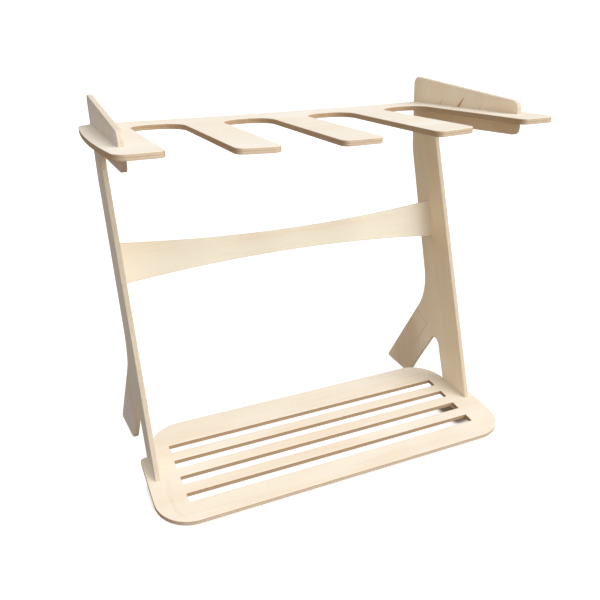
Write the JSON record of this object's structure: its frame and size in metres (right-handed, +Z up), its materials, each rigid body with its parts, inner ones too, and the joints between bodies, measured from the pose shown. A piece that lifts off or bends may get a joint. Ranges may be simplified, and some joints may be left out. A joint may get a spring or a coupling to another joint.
{
  "type": "floor rack",
  "caption": "Free-standing plywood floor rack: slatted lower shelf for instrument bodies, upper shelf with open slots for their necks, two splayed side panels and a cross brace.",
  "frame": {"origin": "on the floor, under the middle of the rack's box", "axes": "+X to the right seen from the front, +Y to the back, +Z up"},
  "size_m": [0.7312, 0.4863, 0.6937],
  "materials": {
    "panel_plywood": "clear satin, sanded birch plywood",
    "top_plywood": "clear satin, sanded birch plywood",
    "bottom_plywood": "clear satin, sanded birch plywood",
    "brace_plywood": "clear satin, sanded birch plywood"
  },
  "bodies": {
    "root": {"side_panel_left": "panel_plywood", "side_panel_right": "panel_plywood", "top_shelf": "top_plywood", "bottom_shelf": "bottom_plywood", "cross_brace": "brace_plywood"}
  },
  "joints": []
}
